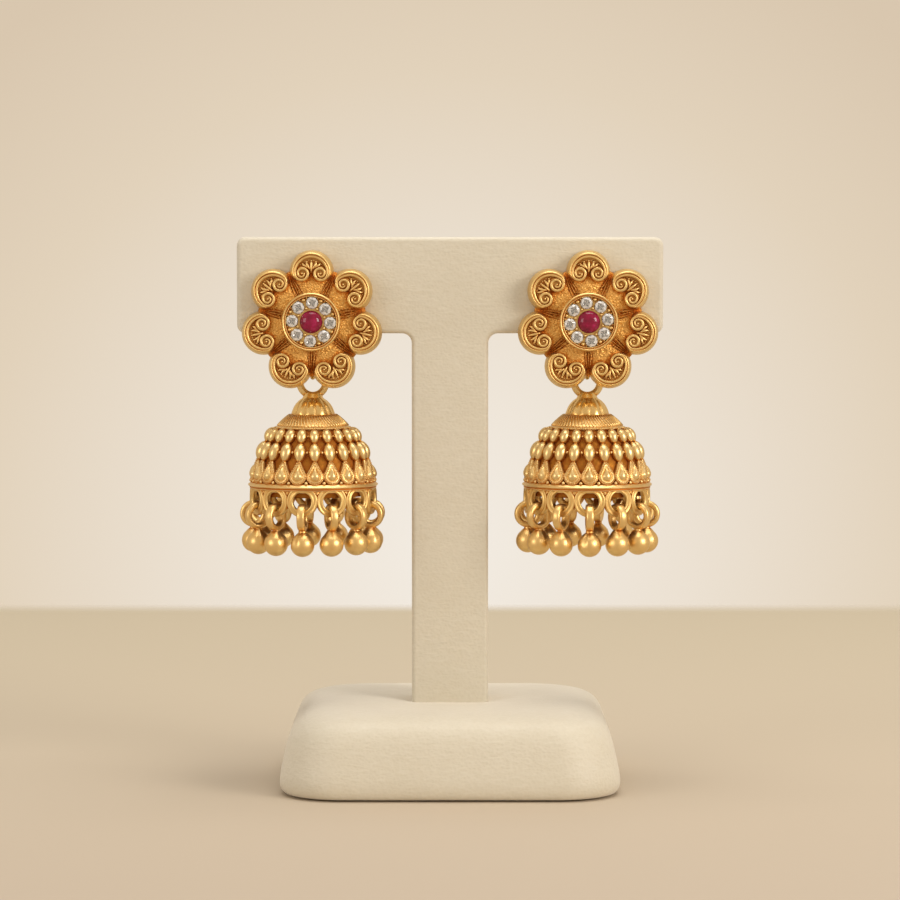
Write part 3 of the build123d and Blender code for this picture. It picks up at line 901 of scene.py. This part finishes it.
# the sheet dome behind the open rows, outside and then back up inside
LINING = [
    (5.7, 58.2), (6.3, 57.6), (6.85, 56.7), (7.45, 55.6), (8.0, 54.4), (8.5, 53.2),
    (8.95, 52.0), (9.25, 50.8), (9.35, 49.4), (9.35, 47.2), (9.28, 47.1), (9.1, 47.1),
    (9.05, 47.3), (9.0, 50.6), (8.6, 52.0), (8.1, 53.3), (7.5, 54.6), (6.8, 55.8),
    (6.0, 56.9), (4.8, 57.9), (3.4, 58.6), (1.5, 59.0), (0, 59.1)]
# beads of the two upper rows: half width, half height, distance from the axis, height, lean, and
# the radius of the granules between them
BEAD_ROWS = [(0.83, 1.32, 7.14, 57.0, 30, 0.17), (0.97, 1.66, 8.4, 54.42, 24, 0.24)]
BEAD_STEPS = (-90, -76, -62, -46, -30, -14, 0, 14, 30, 46, 62, 76, 90)
# drop of the third row: how much of the outline each step keeps, and its height
LEAF_STEPS = [
    (1.02, 0.0), (1.02, 0.34), (0.99, 0.46), (0.93, 0.52), (0.82, 0.54), (0.76, 0.6),
    (0.7, 0.6), (0.66, 0.55), (0.6, 0.53), (0.55, 0.56), (0.5, 0.68), (0.4, 0.84),
    (0.28, 0.95), (0.15, 1.01), (0.03, 1.03)]
# grained borders: how much of the outline each keeps, its number of grains, their radius
LEAF_GRAINS = ((0.9, 28, 0.11), (0.8, 24, 0.09), (0.63, 18, 0.07))
LEAF_GRAIN_Z = 0.56
DROP_FOOT_Z = 49.15
DROP_HALF_WIDTH = 1.49
DROP_LEAN = 13
DROP_R = 9.85
RIM = [
    (9.45, 49.35), (10.1, 49.4), (10.35, 49.2), (10.42, 49.05), (10.6, 48.98), (10.66, 48.82),
    (10.56, 48.66), (10.36, 48.6), (10.3, 48.5), (10.42, 48.42), (10.4, 48.3), (10.26, 48.22),
    (10.2, 48.0), (9.6, 48.0), (9.45, 48.2), (9.45, 49.35)]
RIM_RING_Z = 46.6
RIM_RING_AT = 9.8
RIM_RING = [
    (1.47, -0.28), (1.62, -0.44), (2.35, -0.44), (2.52, -0.3), (2.57, 0.0), (2.55, 0.25),
    (2.44, 0.4), (2.3, 0.42), (2.16, 0.32), (1.98, 0.32), (1.86, 0.44), (1.72, 0.5),
    (1.58, 0.45), (1.48, 0.28), (1.46, 0.0), (1.47, -0.28)]
RIM_WEB = [(0, 47.2), (0.2, 47.3), (0.42, 47.75), (0.52, 48.2), (0, 48.2)]

# The same plating burnished bright on the rows of beads, the collar, the rim and the top ring
burnished_gold = antique_gold(
    "burnished_antique_gold_plate", roughness=0.34, grain_size=0.2, grain_depth=0.008,
    crevice_reach=0.4, shade_and_wear_tones=("#ca7832", "#d49042", "#e0b062"), bright="#eacd92")
# and polished brighter still on the bud
polished_gold = antique_gold(
    "polished_antique_gold_plate", roughness=0.22, grain_size=0.2, grain_depth=0.004,
    crevice_reach=0.6)
# The sheet dome behind the rows was never polished: it stays rough, and its red-brown colour is
# painted shade of the hollow behind the beads; its hammered skin is drawn as dots 0.9 mm apart
unpolished_shaded_gold = antique_gold(
    "unpolished_painted_shade_gold_plate", roughness=0.5, grain_size=0.45, grain_depth=0.08,
    stipple=0.9, shade_and_wear_tones=("#aa642a", "#a6672a", "#a46a2a"), bright="#a46c2a")

ring_section = []
for i in range(24):
    angle = 2 * math.pi * i / 24
    wire_r = TOP_RING_WIRE_R - (GROOVE if i in GROOVED_STEPS else 0.0)
    ring_section.append((TOP_RING_R + wire_r * math.cos(angle), wire_r * math.sin(angle)))
top_ring = turned(ring_section + ring_section[:1], 56)
move(top_ring, turn=(90, 0, 0), at=(0, 0, TOP_RING_Z))

bud = turned(BUD, FLUTES * 10)
for vertex in bud.data.vertices:
    around = math.atan2(vertex.co.y, vertex.co.x)
    depth = (max(0.0, min(1.0, (FLUTES_TO_Z - vertex.co.z) / 0.6))
             * max(0.0, min(1.0, (vertex.co.z - FLUTES_FROM_Z) / 0.5)))
    flute = 1 - FLUTE_DEPTH * depth * (1 - abs(math.cos(around * FLUTES / 2)) ** 0.6)
    vertex.co.x *= flute
    vertex.co.y *= flute
bud.data.materials.append(polished_gold)
bright_parts = [top_ring, bud]

for half_width, half_height, radius, height, lean, granule_r in BEAD_ROWS:
    angles = [math.radians(step) for step in BEAD_STEPS]
    half_bead = [(half_width * math.cos(a) ** 1.3, half_height * math.sin(a)) for a in angles]
    bead = turned(half_bead, 16)
    move(bead, turn=(-lean, 0, 0), at=(0, -radius, height))
    bright_parts.append(ring_of(bead, COLUMNS))
    granule = grain_bead(granule_r, (0, -radius - 0.12, height))
    move(granule, turn=(0, 0, 180 / COLUMNS))
    bright_parts.append(ring_of(granule, COLUMNS))


def leaf_edge(angle):
    """A point on a third-row drop's outline: a round foot below, drawn out to a point above."""
    above = max(0.0, -math.cos(angle))
    return (DROP_HALF_WIDTH * math.sin(angle) * (1 - 0.36 * above ** 1.2),
            -DROP_HALF_WIDTH * math.cos(angle) * (1 + 0.76 * above ** 3))


# the third row: drops with a grained border round a raised inner drop, each swelling from its foot
bpy.ops.mesh.primitive_circle_add(vertices=32, radius=1, fill_type="NGON")
leaf = bpy.context.object
for vertex in leaf.data.vertices:
    vertex.co.x, vertex.co.y = leaf_edge(math.atan2(vertex.co.x, -vertex.co.y))
edit_all(leaf)
for (before, low), (after, high) in zip(LEAF_STEPS, LEAF_STEPS[1:]):
    bpy.ops.mesh.extrude_region_move(TRANSFORM_OT_translate={"value": (0, 0, high - low)})
    bpy.ops.transform.resize(
        value=(after / before, after / before, 1), center_override=(0, 0, high))
finish_mesh(leaf, 0.01)
bpy.ops.object.shade_smooth_by_angle(angle=math.radians(60))
leaf_parts = [leaf]
for kept, count, radius in LEAF_GRAINS:
    for i in range(count):
        x, y = leaf_edge(2 * math.pi * (i + 0.5) / count)
        leaf_parts.append(grain_bead(radius, (x * kept, y * kept, LEAF_GRAIN_Z), 1))
leaf = joined(leaf_parts)
for vertex in leaf.data.vertices:
    # follow the round of the dome
    vertex.co.z -= 0.055 * vertex.co.x ** 2 + 0.03 * (vertex.co.y + 0.4) ** 2
move(leaf, turn=(90, 0, 0), at=(0, -DROP_R, DROP_FOOT_Z + DROP_HALF_WIDTH))
edit_all(leaf)
bpy.ops.transform.rotate(value=math.radians(DROP_LEAN), orient_axis="X", orient_type="GLOBAL",
                         center_override=(0, -DROP_R, DROP_FOOT_Z))
leaves = ring_of(leaf, COLUMNS)
feet = ring_of(grain_bead(0.3, (0, -10.18, 49.55)), COLUMNS)
move(feet, turn=(0, 0, 180 / COLUMNS))
bright_parts += [leaves, feet]

collar = turned(COLLAR, 96)
bpy.ops.object.shade_smooth_by_angle(angle=math.radians(40))
# each rib runs down and outwards along the collar's slope, and a little round it
rib_line = []
for along in (0, 0.25, 0.5, 0.75, 1.0):
    radius = 3.9 + 1.9 * along
    round_it = 0.14 * along
    rib_line.append((radius * math.sin(round_it), -radius * math.cos(round_it),
                     60.28 - 1.78 * along + 0.3 * along * (1 - along)))
ribs = ring_of(wire(rib_line, [0.11, 0.15, 0.17, 0.18, 0.16], 6), COLLAR_RIBS)
milling = ring_of(grain_bead(0.13, (0, -6.17, 58.2), 1), COLLAR_MILLS)
for piece in bright_parts + [collar, ribs, milling]:
    if not piece.data.materials:
        piece.data.materials.append(burnished_gold)
bright = joined(bright_parts + [collar, ribs, milling])
lining = turned(LINING, 88)
lining.data.materials.append(unpolished_shaded_gold)

rim = turned(RIM, 104)
bpy.ops.object.shade_smooth_by_angle(angle=math.radians(50))
rim_ring = turned(RIM_RING, 40)
move(rim_ring, turn=(90, 0, 0), at=(0, -RIM_RING_AT, RIM_RING_Z))
rim_rings = ring_of(rim_ring, RIM_RINGS)
# a web and a grain fill the corner between two rings
web = turned(RIM_WEB, 16)
move(web, at=(0, -RIM_RING_AT - 0.05, 0))
grain_between = joined([web, grain_bead(0.17, (0, -RIM_RING_AT - 0.5, 47.85))])
move(grain_between, turn=(0, 0, 180 / RIM_RINGS))
rim_rings = joined([rim_rings, ring_of(grain_between, RIM_RINGS)])
rim.data.materials.append(burnished_gold)
cast = joined([rim, lining])
rim_rings.data.materials.append(satin_gold)

for side in ("left", "right"):
    low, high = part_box(side + "_bell")
    axis = (low + high) / 2
    rows = copy_of(bright)
    move(rows, turn=(0, 0, BELL_TURN[side]))
    body = copy_of(cast)
    rings = copy_of(rim_rings)
    move(rings, turn=(0, 0, RIM_TURN[side]))
    bell = joined([rows, body, rings])
    move(bell, at=(axis.x, axis.y, 0), scale=MM)
    hand_over(bell, side + "_filigree_bell", side + "_bell", "antique_gold", side + "_bell")
for piece in (bright, cast, rim_rings):
    bpy.data.objects.remove(piece)


# ----------------------------------------------------------
# Drops: a hollow bead pressed from sheet, antique gold plated, closed on the neck of a flat ring
# that is linked through one of the rings under the rim. The presses left some beads round, some
# pear shaped and some puckered at the neck.

# which of the four bead shapes each drop has, from the front one round
DROP_SHAPES = (2, 1, 0, 3, 0, 1, 2, 0, 3, 1, 0, 3, 3)
DROP_RING_Z = 44.0
DROP_RING = [
    (1.26, -0.32), (1.26, 0.32), (1.34, 0.5), (1.5, 0.6), (1.75, 0.66), (2.0, 0.62),
    (2.15, 0.5), (2.21, 0.3), (2.22, 0.0), (2.21, -0.3), (2.15, -0.5), (2.0, -0.62),
    (1.75, -0.66), (1.5, -0.6), (1.34, -0.5), (1.26, -0.32)]
BALL_R = 1.95
BALL_Z = 39.6
# how far each bead shape is drawn up to its neck, and how deeply it is puckered
BALL_SHAPES = ((0.3, 0.0), (0.75, 0.0), (0.2, 0.14), (0.45, 0.08))
NECK = [(0, 41.0), (0.75, 41.0), (0.66, 41.5), (0.6, 41.85), (0.55, 42.1), (0, 42.1)]
NECK_FROM = 0.75  # the neck starts this far up the ball

# Worn by touching, the beads' plating is satin with broad soft highlights
worn_gold = antique_gold(
    "worn_antique_gold_plate", roughness=0.38, grain_size=0.9, grain_depth=0.04,
    crevice_reach=0.9, bright="#ebc886")

ring = turned(DROP_RING, 40)
move(ring, turn=(0, 90, 0), at=(0, 0, DROP_RING_Z))
shapes = []
for neck, pucker in BALL_SHAPES:
    bpy.ops.mesh.primitive_uv_sphere_add(segments=36, ring_count=22, radius=BALL_R)
    ball = bpy.context.object
    for vertex in ball.data.vertices:
        above = max(0.0, vertex.co.z / BALL_R)
        around = math.atan2(vertex.co.y, vertex.co.x)
        if pucker:
            crease = (max(0.0, math.cos(around * 3.5 + 1.1)) ** 6
                      + 0.8 * max(0.0, math.cos(around * 2 - 0.6)) ** 10)
            squeeze = 1 - pucker * crease * min(1.0, max(0.0, vertex.co.z / BALL_R + 0.3) * 1.4)
            vertex.co.x *= squeeze
            vertex.co.y *= squeeze
        if above > NECK_FROM:
            vertex.co.z += neck * ((above - NECK_FROM) / (1 - NECK_FROM)) ** 1.5
    bpy.ops.object.shade_smooth()
    move(ball, at=(0, 0, BALL_Z))
    neck_piece = turned(NECK, 18)
    shape = joined([copy_of(ring), ball, neck_piece])
    shape.data.materials.append(worn_gold)
    shapes.append(shape)
for side in ("left", "right"):
    low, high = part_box(side + "_bell")
    axis = (low + high) / 2
    for number, shape in enumerate(DROP_SHAPES, 1):
        node = f"{side}_drop_{number:02d}"
        low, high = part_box(node)
        middle = (low + high) / 2
        around = math.degrees(math.atan2(middle.y - axis.y, middle.x - axis.x)) + 90
        drop = copy_of(shapes[shape])
        move(drop, turn=(0, 0, around))
        move(drop, at=(middle.x, middle.y, 0), scale=MM)
        hand_over(drop, f"{side}_bead_drop_{number:02d}", side + "_bell", "antique_gold", node)
for piece in shapes + [ring]:
    bpy.data.objects.remove(piece)
